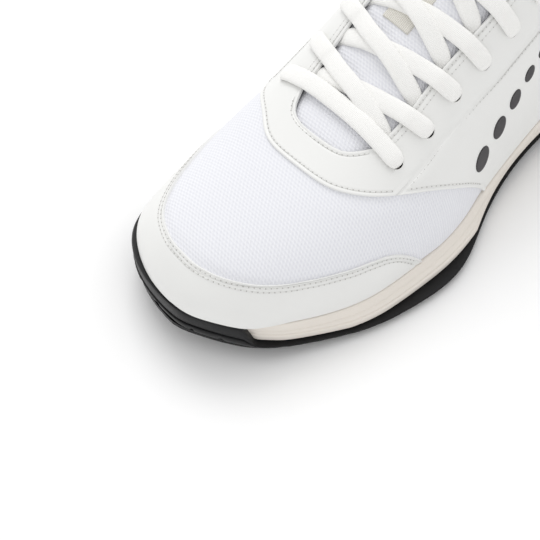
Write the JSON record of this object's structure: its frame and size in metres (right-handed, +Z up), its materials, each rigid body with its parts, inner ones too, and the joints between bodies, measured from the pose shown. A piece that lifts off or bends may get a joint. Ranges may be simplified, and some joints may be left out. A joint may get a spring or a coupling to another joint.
{
  "type": "court shoe",
  "caption": "Left racket-sport court shoe with a cupped black rubber outsole, cream midsole, layered white lace-up upper and a padded collar.",
  "frame": {"origin": "on the ground, under the centre of the shoe's length and width", "axes": "+Z up, the toe points along -Y and the heel along +Y, +X is the outer side of this left shoe"},
  "size_m": [0.1163, 0.292, 0.1349],
  "materials": {
    "rubber": "satin black rubber with a moulded tread",
    "midsole_foam": "matt cream moulded foam with fine lengthwise grooves",
    "leather": "smooth white leather with a faint grain, satin",
    "upper_mesh": "white woven mesh with fine diagonal ribs",
    "lining_textile": "soft white knitted lining",
    "padding_foam": "open foam, matt",
    "board": "stiff fibre board, matt",
    "shank_plastic": "dark stiff plastic",
    "lace": "flat woven lace, warm white",
    "aglet": "smooth clear-white plastic sleeve",
    "ribbon": "ribbed beige ribbon",
    "charcoal_film": "thin smooth heat-pressed film"
  },
  "bodies": {
    "shoe": {"outsole": "rubber", "midsole": "midsole_foam", "shank_plate": "shank_plastic", "strobel_board": "board", "vamp_mesh": "upper_mesh", "vamp_lining": "lining_textile", "toe_cap": "leather", "toe_puff": "board", "eyestay": "leather", "eyestay_backing_lateral": "lining_textile", "eyestay_backing_medial": "lining_textile", "quarter_lateral": "leather", "quarter_medial": "leather", "heel_overlay": "leather", "heel_counter": "board", "quarter_lining": "lining_textile", "collar_padding": "padding_foam", "collar_binding": "lining_textile", "lace": "lace", "lace_knot": "lace", "lace_loop_lateral": "lace", "lace_loop_medial": "lace", "lace_end_lateral": "lace", "lace_end_medial": "lace", "aglet_lateral": "aglet", "aglet_medial": "aglet", "side_dot_lateral_1": "charcoal_film", "side_dot_lateral_2": "charcoal_film", "side_dot_lateral_3": "charcoal_film", "side_dot_lateral_4": "charcoal_film", "side_dot_lateral_5": "charcoal_film", "side_dot_medial_1": "charcoal_film", "side_dot_medial_2": "charcoal_film", "side_dot_medial_3": "charcoal_film", "side_dot_medial_4": "charcoal_film", "side_dot_medial_5": "charcoal_film"},
    "tongue": {"tongue_face": "upper_mesh", "tongue_padding": "padding_foam", "tongue_lining": "lining_textile", "lace_keeper": "ribbon"},
    "sockliner": {"sockliner": "padding_foam", "sockliner_cloth": "lining_textile"}
  },
  "joints": [
    {"name": "tongue_tip", "type": "hinge", "parent": "shoe", "child": "tongue", "pos_m": [0, -0.057, 0.052], "axis": [-1, 0, 0], "range_deg": [0, 8], "stiffness_Nm_per_rad": 0.12, "springref_deg": -17.19},
    {"name": "sockliner_lift", "type": "hinge", "parent": "shoe", "child": "sockliner", "pos_m": [0, -0.133, 0.026], "axis": [1, 0, 0], "range_deg": [0, 4]}
  ]
}
